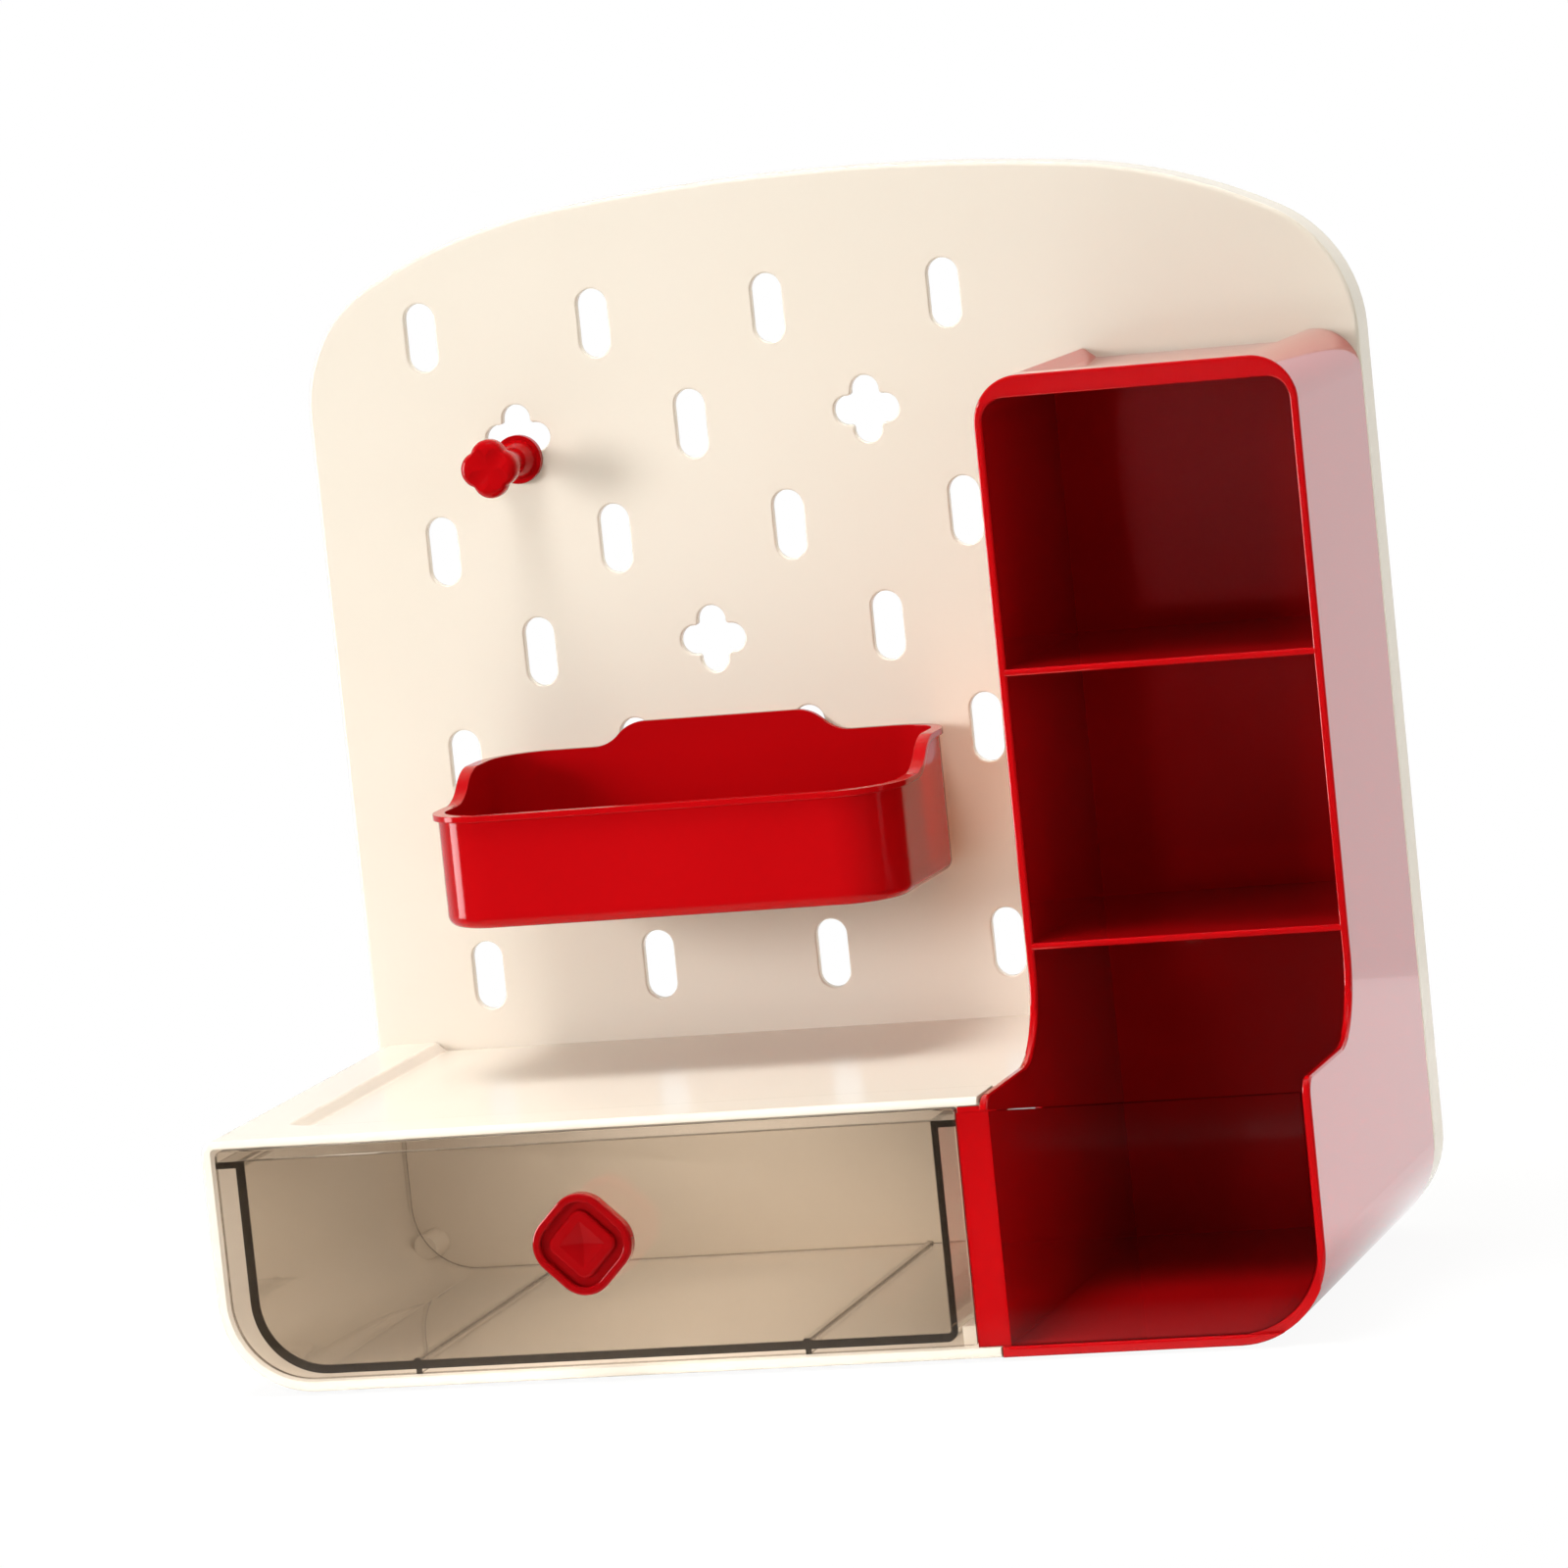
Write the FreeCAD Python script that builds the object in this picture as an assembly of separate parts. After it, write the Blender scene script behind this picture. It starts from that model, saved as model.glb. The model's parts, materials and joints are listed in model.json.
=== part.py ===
import FreeCAD, Part
import math
import os

# Frame, in millimetres: +X to the right, +Y to the back, +Z up. The shapes are built with x = 0 in the
# middle of the organizer, y = 0 on the pegboard's front face and z = 0 on the underside of the base.
# place() then moves them so that the origin is the bottom centre of the whole object.

V = FreeCAD.Vector

# ---- overall ----
WIDTH = 298.0                # over the base, the tower and the pegboard
BASE_DEPTH = 152.2           # pegboard's front face to the base's front
FOOT_PROUD = 1.0             # the rubber pads lift the base by this much
OVERCUT = 5.0                # how far a cutter runs past the face that it opens
TOUCH = 1e-6                 # places closer than this are the same

# ---- pegboard ----
BOARD_HEIGHT = 301.4
BOARD_THICK = 2.6
BOARD_DEPTH = 13.5           # front face to the back edge of the rim
RIM_THICK = 2.6
CROWN_R = 635.0              # three-centre arch: crown, shoulders, corners
CROWN_HALF_ANGLE = math.radians(6.6)
SHOULDER_R = 158.5
CORNER_R = 39.0
BOARD_FOOT_R = 25.0
BOARD_EDGE_R = 1.2

# ---- peg holes ----
SLOT_WIDTH = 8.8
SLOT_HEIGHT = 19.1
SLOT_EDGE_R = 0.45
COLUMN_PITCH = 25.0
ROW_PITCH = 29.83
FIRST_COLUMN_INSET = 34.9    # board's left edge to the first column
TOP_ROW_DROP = 36.4          # crown to the middle of the top row
LOBE_R = 4.0                 # a clover hole is four lobes round a middle
LOBE_OFFSET = 5.3
CLOVER_NOTCH_R = 1.0
SLOT_HOLES = ((0, 0), (0, 2), (0, 4), (0, 6), (1, 3), (2, 0), (2, 2), (2, 4), (2, 6), (3, 1), (3, 5),
              (4, 0), (4, 2), (4, 4), (4, 6), (5, 1), (5, 3), (5, 5), (6, 0), (6, 2), (6, 4), (6, 6))
CLOVER_HOLES = ((1, 1), (1, 5), (3, 3))

# ---- base housing: a shell open at the back and towards the tower ----
HOUSING_HEIGHT = 68.0
HOUSING_WALL = 2.8
HOUSING_FOOT_R = 25.0
HOUSING_TOP_R = 4.0
HOUSING_INNER_TOP_R = 1.3
HOUSING_EDGE_R = 1.5
LIP_THICK = 2.0
LIP_DEPTH = 18.2             # front edge to the recess in the shelf
SHELF_THICK = 2.6
RECESS_DEPTH = 2.6
RECESS_MARGIN = 17.6         # left side to the recess
RECESS_SLOPE = 2.6           # the recess's left side leans in by this much
RECESS_BRIM_R = 1.6          # rounding of that side, above and below
RECESS_BRIM = 2.4            # how far the upper rounding reaches past the side
RECESS_CORNER_R = 12.0
RAIL_WIDTH = 4.6
RAIL_HEIGHT = 5.4
RAIL_REAR_INSET = 16.0
RAIL_FRONT_INSET = 4.2

# ---- tower ----
TOWER_WIDTH = 86.6
TOWER_HEIGHT = 246.8
TOWER_WALL = 2.2
TOWER_BACK = 2.4
TOWER_FLOOR = 2.8
TOWER_TOP_R = 12.5
TOWER_TOP_INNER_R = 6.0
TOWER_FOOT_R = 24.0
TOWER_HEADER = 5.8
UPPER_DEPTH = 86.75          # pegboard's front face to the front of the upper part
LEDGE_HEIGHT = 67.9
LEDGE_SWEEP_R = 22.0
LEDGE_NOSE_R = 5.0
TOWER_EDGE_R = 0.7           # along the front of the walls and dividers
TOWER_BACK_R = 0.5
DIVIDER_THICK = 1.8
LOWER_DIVIDER_Z = 96.35
UPPER_DIVIDER_Z = 169.0
CAP_RECESS_LEFT = 10.6       # shallow recess in the top: margins, depth, sloped ends and front land
CAP_RECESS_RIGHT = 13.2
CAP_RECESS_DEPTH = 2.8
CAP_RECESS_SLOPE = 3.6
CAP_RECESS_LAND = 8.0
CAP_RECESS_R = 6.0
VENT_WIDTH = 0.9             # slit between the top and the pegboard, bridged by three nibs
VENT_DEPTH = 1.6
NIB_WIDTH = 1.1
NIB_SHARES = (0.18, 0.45, 0.80)
STRIP_WIDTH = 6.1            # flange beside the drawer
STRIP_THICK = 2.2
STRIP_TOP = 65.4
TAB_WIDTH = 10.0             # hooks that hang the tower's back on the pegboard
TAB_HEIGHT = 2.4
TAB_DROP = 4.0
TAB_THICK = 2.0
TAB_SPACING = 50.0
TAB_BELOW_TOP = 18.0

# ---- clear shield over the tower's lowest bin ----
SHIELD_THICK = 2.0
SHIELD_TOP = 64.2
SHIELD_SIDE_GAP = 0.4
SHIELD_CORNER_R = 21.2

# ---- drawer ----
FRONT_THICK = 3.0
FRONT_SIDE_GAP = 1.0         # to the housing's left wall
FRONT_TOP_GAP = 0.6          # to the lip above, and the same to the floor
FRONT_CORNER_R = 21.6
FRONT_SMALL_R = 1.0
FRONT_EDGE_R = 0.4
TUB_WALL = 2.0
TUB_INSET = 5.0              # drawer front's left edge to the tub
TUB_RAIL_GAP = 1.0
TUB_CORNER_R = 20.0
TUB_SMALL_R = 3.0
TUB_FLOOR_RISE = 1.7         # housing's floor to the underside of the tub
TUB_SHELF_GAP = 0.6
TUB_REAR_INSET = 13.5
TUB_SEAM = 0.1               # tub to drawer front
RIM_FLANGE_THICK = 1.8
RIM_FLANGE_RIGHT = 4.3
RUNNER_WIDTH = 1.6
RUNNER_GAP = 0.2
RUNNER_BEAD = 0.6            # how far each rib also stands up from the tub's floor
RUNNER_INSETS = (43.9, 150.1)  # tub's left side to each runner rib

# ---- knob ----
KNOB_SHIFT = 1.7             # right of the tub's middle
KNOB_LIFT = 3.25             # above the drawer front's middle
KNOB_HALF = 11.9             # centre to a flat side of the rounded diamond
KNOB_CORNER_R = 8.3
KNOB_THICK = 5.0
KNOB_PROJECTION = 13.0
KNOB_RIM = 2.2
KNOB_GROOVE = 2.0
KNOB_FRONT_R = 0.9
KNOB_BACK_R = 1.6
KNOB_DISH_R = 0.6
PLATFORM_HALF = 7.2
PLATFORM_CORNER_R = 3.0
PLATFORM_RISE = 1.6
PLATFORM_EDGE_R = 1.0
PYRAMID_REACH = 6.2
PYRAMID_DEPTH = 1.9
STEM_R = 3.4
STEM_FLARE_R = 6.0
STEM_FLARE_LENGTH = 5.0

# ---- hanging tray ----
TRAY_HALF_WIDTH = 65.2
TRAY_DEPTH = 73.6
TRAY_WALL = 2.0
TRAY_FRONT_R = 17.0
TRAY_BACK_R = 16.0
TRAY_BOTTOM_R = 3.0
TRAY_FRONT_HEIGHT = 31.0
TRAY_SIDE_HEIGHT = 39.3
TRAY_HUMP_HEIGHT = 45.6
TRAY_STEP_START = 25.6       # back of the tray to the top of the side step
TRAY_STEP_LENGTH = 21.5
HUMP_HALF_TOP = 21.9
HUMP_RUN = 14.95
TRAY_LIP_OUT = 1.4
TRAY_LIP_HEIGHT = 1.6
TRAY_ROW = 4
TRAY_COLUMNS = (2, 4)
TRAY_BELOW_SLOT = 36.9       # middle of the hooks' slots to the tray's underside
HOOK_NECK_WIDTH = 7.0
HOOK_NECK_HEIGHT = 8.6
HOOK_LIP_THICK = 2.4
HOOK_LIP_DROP = 4.9

# ---- hook peg ----
PEG_HOLE = (1, 1)
PEG_NECK_R = 3.2
PEG_FLANGE_R = 4.9
PEG_FLANGE_THICK = 2.0
PEG_COLLAR_R = 6.75
PEG_COLLAR_THICK = 2.2
PEG_FLARE_R = 5.4
PEG_FLARE_LENGTH = 4.5
PEG_SHANK_R = 3.8
PEG_SHANK_END = 25.0         # pegboard's front face to the back of the head
PEG_HEAD_THICK = 6.0
PEG_HEAD_EDGE_R = 1.6
PEG_HEAD_CROWN_R = 2.6       # rounding of the head's front
PEG_LOBE_R = 5.0
PEG_LOBE_OFFSET = 3.1
PEG_NOTCH_R = 1.2            # rounding where two lobes meet
PEG_CREASE_R = 7.0           # two crossed grooves part the lobes on the head's front
PEG_CREASE_DEPTH = 0.6

# ---- fixings ----
SCREW_R = 1.45
SCREW_LENGTH = 10.0
SCREW_HEAD_R = 3.5
SCREW_HEAD_THICK = 2.2
SCREW_FIT = 0.05             # round the shank, in a boss
SCREW_HOLE_R = 1.7           # clearance hole in a clamped wall
DRIVE_R = 1.6
DRIVE_SLOT = 0.8
DRIVE_DEPTH = 1.1
BOSS_R = 4.0
BOSS_LENGTH = 12.0
BOSS_WALL_BITE = 0.4         # how far a boss runs into the wall beside it
BOSS_RIGHT_INSET = 14.7
TOWER_BOSS_HEIGHTS = (20.0, 50.0)

# ---- feet ----
PAD_R = 6.0
PAD_THICK = 2.0
PAD_SIDE_CLEARANCE = 9.0     # rounded corner's end to the pad's centre
PAD_FRONT_INSET = 20.0
PAD_REAR_INSET = 20.0

# ---- clearances ----
JOINT_GAP = 0.3              # between neighbouring mouldings
SEAT_GAP = 0.3               # a hung piece to the board that carries it

# ---- derived places ----
LEFT = -WIDTH / 2
RIGHT = WIDTH / 2
FRONT = -BASE_DEPTH
TOWER_LEFT = RIGHT - TOWER_WIDTH
HOUSING_RIGHT = TOWER_LEFT - JOINT_GAP
LIP_UNDERSIDE = HOUSING_HEIGHT - LIP_THICK
RECESS_FLOOR = HOUSING_HEIGHT - RECESS_DEPTH
SHELF_UNDERSIDE = RECESS_FLOOR - SHELF_THICK
STRIP_LEFT = TOWER_LEFT - STRIP_WIDTH
SHIELD_BACK = FRONT + SHIELD_THICK
RAIL_LEFT = STRIP_LEFT - RAIL_WIDTH
FRONT_LEFT = LEFT + HOUSING_WALL + FRONT_SIDE_GAP
FRONT_RIGHT = STRIP_LEFT - JOINT_GAP
FRONT_BOTTOM = HOUSING_WALL + FRONT_TOP_GAP
FRONT_TOP = LIP_UNDERSIDE - FRONT_TOP_GAP
FRONT_BACK = FRONT + FRONT_THICK
TUB_LEFT = FRONT_LEFT + TUB_INSET
TUB_RIGHT = RAIL_LEFT - TUB_RAIL_GAP
TUB_BOTTOM = HOUSING_WALL + TUB_FLOOR_RISE
TUB_TOP = SHELF_UNDERSIDE - TUB_SHELF_GAP
TUB_FRONT = FRONT_BACK + TUB_SEAM
TUB_REAR = -TUB_REAR_INSET
KNOB_X = (TUB_LEFT + TUB_RIGHT) / 2 + KNOB_SHIFT
KNOB_Z = (FRONT_BOTTOM + FRONT_TOP) / 2 + KNOB_LIFT
KNOB_FRONT = FRONT - KNOB_PROJECTION
KNOB_BACK = KNOB_FRONT + KNOB_THICK
CENTRE_Y = (KNOB_FRONT + BOARD_DEPTH) / 2
XZ = "xz"
YZ = "yz"
XY = "xy"


# ---- helpers ----
def point(plane, u, v, depth=0.0):
    """A point from two coordinates in a plane and its depth along the plane's normal axis."""
    if plane == XZ:
        return V(u, depth, v)
    if plane == YZ:
        return V(depth, u, v)
    return V(u, v, depth)


def rounded_wire(plane, corners):
    """Closed wire round (u, v, radius) corners, with a tangent arc at each one."""
    count = len(corners)
    turns = []
    for index, (u, v, radius) in enumerate(corners):
        here = V(u, v, 0)
        before = (V(*corners[index - 1][:2], 0) - here).normalize()
        after = (V(*corners[(index + 1) % count][:2], 0) - here).normalize()
        half = before.getAngle(after) / 2
        reach = radius / math.tan(half)
        inward = (before + after).normalize()
        middle = here + inward * (radius / math.sin(half) - radius)
        turns.append((here + before * reach, middle, here + after * reach, radius))
    edges = []
    for index, (start, middle, end, radius) in enumerate(turns):
        if radius > 0:
            ends = [point(plane, p.x, p.y) for p in (start, middle, end)]
            edges.append(Part.Arc(*ends).toShape())
        following = turns[(index + 1) % count][0]
        if (following - end).Length > TOUCH:
            edges.append(Part.LineSegment(point(plane, end.x, end.y),
                                          point(plane, following.x, following.y)).toShape())
    return Part.Wire(edges)


def prism(plane, corners, start, end):
    """The outline swept along the plane's normal axis, from start to end."""
    wire = rounded_wire(plane, corners)
    wire.translate(point(plane, 0, 0, start))
    return Part.Face(wire).extrude(point(plane, 0, 0, end - start))


def rectangle(u0, u1, v0, v1, radii=(0, 0, 0, 0)):
    """Corners of a rectangle; radii from (u0, v0) and on by (u1, v0), (u1, v1) and (u0, v1)."""
    return [(u0, v0, radii[0]), (u1, v0, radii[1]), (u1, v1, radii[2]), (u0, v1, radii[3])]


def box(x0, x1, y0, y1, z0, z1):
    return Part.makeBox(x1 - x0, y1 - y0, z1 - z0, V(x0, y0, z0))


def rod(x, z, radius, y0, y1):
    """A cylinder along Y."""
    return Part.makeCylinder(radius, y1 - y0, V(x, y0, z), V(0, 1, 0))


def cone(x, z, radius0, radius1, y0, y1):
    return Part.makeCone(radius0, radius1, y1 - y0, V(x, y0, z), V(0, 1, 0))


def edges_at(shape, y):
    """The edges that lie in the plane at this y."""
    return [e for e in shape.Edges if all(abs(p.y - y) < TOUCH for p in e.discretize(3))]


def diagonal_edges(shape, x, z):
    """The edges along Y that stand on a diagonal through (x, z), as where round lobes meet."""
    found = []
    for edge in shape.Edges:
        ends = [vertex.Point for vertex in edge.Vertexes]
        if len(ends) < 2 or abs(ends[0].y - ends[1].y) < 1:
            continue
        if all(abs(abs(end.x - x) - abs(end.z - z)) < TOUCH for end in ends):
            found.append(edge)
    return found


def is_near(edge, centres, reach):
    """Whether the edge's middle lies within reach of one of the (x, z) centres."""
    middle = edge.discretize(3)[1]
    return any(math.hypot(middle.x - x, middle.z - z) < reach for x, z in centres)


def step_corners(u0, v0, u1, v1, drop=0.0):
    """Two corners whose arcs form one S from level v0 at u0 to level v1 at u1, lowered by drop."""
    run = u1 - u0
    rise = abs(v1 - v0)
    radius = (run * run + rise * rise) / (4 * rise)
    reach = (run * run + rise * rise) / (4 * run)
    shift = drop * rise / run
    # the arc at the higher level bulges upward, so lowering the line shrinks it; the other one grows
    if v1 < v0:
        shift = -shift
        radii = (radius - drop, radius + drop)
    else:
        radii = (radius + drop, radius - drop)
    return [(u0 + reach + shift, v0 - drop, radii[0]), (u1 - reach + shift, v1 - drop, radii[1])]


def hole_centre(row, column):
    x = LEFT + FIRST_COLUMN_INSET + column * COLUMN_PITCH
    z = BOARD_HEIGHT - TOP_ROW_DROP - row * ROW_PITCH
    return x, z


def place(shape):
    moved = shape.copy()
    moved.translate(V(0, -CENTRE_Y, FOOT_PROUD))
    return moved


# ---- pegboard ----
def board_outline(inset):
    """The pegboard's outline as a wire, moved inward by inset."""
    crown = V(0, 0, BOARD_HEIGHT - CROWN_R)
    angle = CROWN_HALF_ANGLE
    shoulder = crown + V(math.sin(angle), 0, math.cos(angle)) * (CROWN_R - SHOULDER_R)
    sine = (RIGHT - CORNER_R - shoulder.x) / (SHOULDER_R - CORNER_R)
    turn = math.asin(sine)
    corner = shoulder + V(math.sin(turn), 0, math.cos(turn)) * (SHOULDER_R - CORNER_R)
    foot = V(RIGHT - BOARD_FOOT_R, 0, BOARD_FOOT_R)

    def on_arc(centre, radius, bearing, side):
        spot = centre + V(math.sin(bearing), 0, math.cos(bearing)) * (radius - inset)
        return V(spot.x * side, 0, spot.z)

    def arc(centre, radius, start, end, side):
        stops = (start, (start + end) / 2, end)
        return Part.Arc(*[on_arc(centre, radius, bearing, side) for bearing in stops]).toShape()

    quarter = math.pi / 2
    edges = [Part.Arc(on_arc(crown, CROWN_R, angle, -1), on_arc(crown, CROWN_R, 0, 1),
                      on_arc(crown, CROWN_R, angle, 1)).toShape()]
    for side in (1, -1):
        edges.append(arc(shoulder, SHOULDER_R, angle, turn, side))
        edges.append(arc(corner, CORNER_R, turn, quarter, side))
        edges.append(arc(foot, BOARD_FOOT_R, quarter, 2 * quarter, side))
        edges.append(Part.LineSegment(on_arc(corner, CORNER_R, quarter, side),
                                      on_arc(foot, BOARD_FOOT_R, quarter, side)).toShape())
    edges.append(Part.LineSegment(on_arc(foot, BOARD_FOOT_R, 2 * quarter, 1),
                                  on_arc(foot, BOARD_FOOT_R, 2 * quarter, -1)).toShape())
    return Part.Wire(Part.__sortEdges__(edges))


def slot_cutter(x, z):
    half = SLOT_WIDTH / 2
    corners = rectangle(x - half, x + half, z - SLOT_HEIGHT / 2, z + SLOT_HEIGHT / 2, (half,) * 4)
    return prism(XZ, corners, -OVERCUT, BOARD_THICK + OVERCUT)


def clover_cutter(x, z):
    """Four round lobes joined by a diamond whose corners are the lobes' centres."""
    start = -OVERCUT
    end = BOARD_THICK + OVERCUT
    centres = [(x + LOBE_OFFSET, z), (x, z + LOBE_OFFSET), (x - LOBE_OFFSET, z), (x, z - LOBE_OFFSET)]
    lobes = [rod(u, v, LOBE_R, start, end) for u, v in centres]
    middle = prism(XZ, [(u, v, 0) for u, v in centres], start, end)
    clover = middle.multiFuse(lobes).removeSplitter()
    return clover.makeFillet(CLOVER_NOTCH_R, diagonal_edges(clover, x, z))


def tab_places():
    middle = (TOWER_LEFT + RIGHT) / 2
    z = TOWER_HEIGHT - TAB_BELOW_TOP
    return [(middle - TAB_SPACING / 2, z), (middle + TAB_SPACING / 2, z)]


def housing_boss_places():
    """Screw axes (x, z) of the housing: top left, bottom left in the corner, top right, bottom right."""
    grip = BOSS_R - BOSS_WALL_BITE
    inner_left = LEFT + HOUSING_WALL
    inner_r = HOUSING_FOOT_R - HOUSING_WALL
    corner = inner_r - (inner_r - grip) * math.sqrt(0.5)
    right = HOUSING_RIGHT - BOSS_RIGHT_INSET
    return [(inner_left + grip, LIP_UNDERSIDE - grip), (inner_left + corner, HOUSING_WALL + corner),
            (right, SHELF_UNDERSIDE - grip), (right, HOUSING_WALL + grip)]


def tower_boss_places():
    return [(TOWER_LEFT - BOSS_R + BOSS_WALL_BITE, z) for z in TOWER_BOSS_HEIGHTS]


def back_board():
    board = Part.Face(board_outline(0)).extrude(V(0, BOARD_DEPTH, 0))
    board = board.makeFillet(BOARD_EDGE_R, edges_at(board, 0))
    hollow = Part.Face(board_outline(RIM_THICK)).extrude(V(0, BOARD_DEPTH, 0))
    hollow.translate(V(0, BOARD_THICK, 0))
    cutters = [slot_cutter(*hole_centre(*hole)) for hole in SLOT_HOLES]
    cutters += [clover_cutter(*hole_centre(*hole)) for hole in CLOVER_HOLES]
    board = board.cut([hollow] + cutters)
    centres = [hole_centre(*hole) for hole in SLOT_HOLES + CLOVER_HOLES]
    rims = [e for e in edges_at(board, 0) if is_near(e, centres, SLOT_HEIGHT / 2 + SLOT_EDGE_R)]
    board = board.makeFillet(SLOT_EDGE_R, rims)
    cutters = [rod(x, z, SCREW_HOLE_R, -OVERCUT, BOARD_THICK + OVERCUT)
               for x, z in housing_boss_places() + tower_boss_places()]
    for x, z in tab_places():
        half = TAB_WIDTH / 2 + JOINT_GAP
        cutters.append(box(x - half, x + half, -OVERCUT, BOARD_THICK + OVERCUT,
                           z - TAB_HEIGHT / 2 - JOINT_GAP, z + TAB_HEIGHT / 2 + TAB_DROP + JOINT_GAP))
    return board.cut(cutters)


# ---- base housing ----
def base_housing():
    outline = rectangle(LEFT, HOUSING_RIGHT, 0, HOUSING_HEIGHT, (HOUSING_FOOT_R, 0, 0, HOUSING_TOP_R))
    body = prism(XZ, outline, FRONT, 0)
    front_edges = [e for e in edges_at(body, FRONT) if e.BoundBox.XMin < HOUSING_RIGHT - TOUCH]
    body = body.makeFillet(HOUSING_EDGE_R, front_edges)
    inner_left = LEFT + HOUSING_WALL
    inner_foot_r = HOUSING_FOOT_R - HOUSING_WALL
    bay = rectangle(inner_left, HOUSING_RIGHT + OVERCUT, HOUSING_WALL, LIP_UNDERSIDE,
                    (inner_foot_r, 0, 0, HOUSING_INNER_TOP_R))
    body = body.cut(prism(XZ, bay, FRONT - OVERCUT, OVERCUT))
    recess_left = LEFT + RECESS_MARGIN
    recess_front = FRONT + LIP_DEPTH
    step = box(recess_left - SHELF_THICK, HOUSING_RIGHT, recess_front - SHELF_THICK, 0,
               SHELF_UNDERSIDE, HOUSING_HEIGHT - LIP_THICK / 2)
    brim_left = recess_left - RECESS_BRIM
    recess_right = HOUSING_RIGHT + OVERCUT
    above = HOUSING_HEIGHT + OVERCUT
    recess = [(recess_left + RECESS_SLOPE, RECESS_FLOOR, RECESS_BRIM_R), (recess_right, RECESS_FLOOR, 0),
              (recess_right, above, 0), (brim_left, above, 0),
              (brim_left, HOUSING_HEIGHT, 0), (recess_left, HOUSING_HEIGHT, RECESS_BRIM_R)]
    plan = rectangle(brim_left, recess_right, recess_front, OVERCUT, (RECESS_CORNER_R, 0, 0, 0))
    rail = box(RAIL_LEFT, STRIP_LEFT - TUB_SEAM, FRONT + RAIL_FRONT_INSET, -RAIL_REAR_INSET,
               HOUSING_WALL / 2, HOUSING_WALL + RAIL_HEIGHT)
    bosses = [rod(x, z, BOSS_R, -BOSS_LENGTH, 0) for x, z in housing_boss_places()]
    body = body.multiFuse([step, rail] + bosses)
    inside_plan = prism(XY, plan, RECESS_FLOOR - OVERCUT, above)
    cutters = [prism(XZ, recess, recess_front, OVERCUT).common(inside_plan)]
    cutters += [rod(x, z, SCREW_R + SCREW_FIT, -SCREW_LENGTH, OVERCUT) for x, z in housing_boss_places()]
    cutters += [pad_pocket(x, y) for x, y in left_pad_places()]
    return body.cut(cutters).removeSplitter()


# ---- tower ----
def tower_side_profile():
    """Deep below the ledge and shallow above it, with a swept step between."""
    upper_front = -UPPER_DEPTH
    return [(0, 0, 0), (0, TOWER_HEIGHT, 0), (upper_front, TOWER_HEIGHT, 0),
            (upper_front, LEDGE_HEIGHT, LEDGE_SWEEP_R), (FRONT, LEDGE_HEIGHT, LEDGE_NOSE_R), (FRONT, 0, 0)]


def tower_front_edges(body, profile):
    """The edges round the body's front faces, which are the faces that the side profile gave it."""
    middle = (TOWER_LEFT + RIGHT) / 2
    swept = []
    for face in profile.Faces:
        spot = face.CenterOfMass
        if abs(spot.x - middle) < 1 and spot.y < -1 and TOUCH < spot.z < TOWER_HEIGHT - TOUCH:
            swept.append(face)
    surface = Part.makeCompound(swept)
    edges = []
    for face in body.Faces:
        spots = [spot for edge in face.Edges for spot in edge.discretize(3)]
        if all(Part.Vertex(spot).distToShape(surface)[0] < TOUCH for spot in spots):
            edges += face.Edges
    return [edge for edge in edges if sum(edge.isSame(other) for other in edges) == 1]


def tower_bins():
    """The three bins, bottom to top, as cutters open to the front."""
    x0 = TOWER_LEFT + TOWER_WALL
    x1 = RIGHT - TOWER_WALL
    half = DIVIDER_THICK / 2
    top_r = TOWER_TOP_INNER_R
    foot_r = TOWER_FOOT_R - TOWER_WALL
    header = TOWER_HEIGHT - TOWER_HEADER
    outlines = [rectangle(x0, x1, TOWER_FLOOR, LOWER_DIVIDER_Z - half, (0, foot_r, 0, 0)),
                rectangle(x0, x1, LOWER_DIVIDER_Z + half, UPPER_DIVIDER_Z - half),
                rectangle(x0, x1, UPPER_DIVIDER_Z + half, header, (0, 0, top_r, top_r))]
    return [prism(XZ, outline, FRONT - OVERCUT, -TOWER_BACK) for outline in outlines]


def tower_top_recess():
    x0 = TOWER_LEFT + CAP_RECESS_LEFT
    x1 = RIGHT - CAP_RECESS_RIGHT
    floor = TOWER_HEIGHT - CAP_RECESS_DEPTH
    front = CAP_RECESS_LAND - UPPER_DEPTH
    section = [(x0 + CAP_RECESS_SLOPE, floor, 0), (x1 - CAP_RECESS_SLOPE, floor, 0),
               (x1, TOWER_HEIGHT, 0), (x1, TOWER_HEIGHT + OVERCUT, 0),
               (x0, TOWER_HEIGHT + OVERCUT, 0), (x0, TOWER_HEIGHT, 0)]
    plan = rectangle(x0, x1, front, OVERCUT, (CAP_RECESS_R, CAP_RECESS_R, 0, 0))
    inside_plan = prism(XY, plan, floor - OVERCUT, TOWER_HEIGHT + 2 * OVERCUT)
    cutters = [prism(XZ, section, front, OVERCUT).common(inside_plan)]
    x0 += CAP_RECESS_SLOPE
    x1 -= CAP_RECESS_SLOPE
    stops = [x0] + [x0 + (x1 - x0) * share for share in NIB_SHARES] + [x1]
    for start, end in zip(stops[:-1], stops[1:]):
        cutters.append(box(start + NIB_WIDTH / 2, end - NIB_WIDTH / 2, -VENT_WIDTH, OVERCUT,
                           floor - VENT_DEPTH, floor + OVERCUT))
    return cutters


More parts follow.
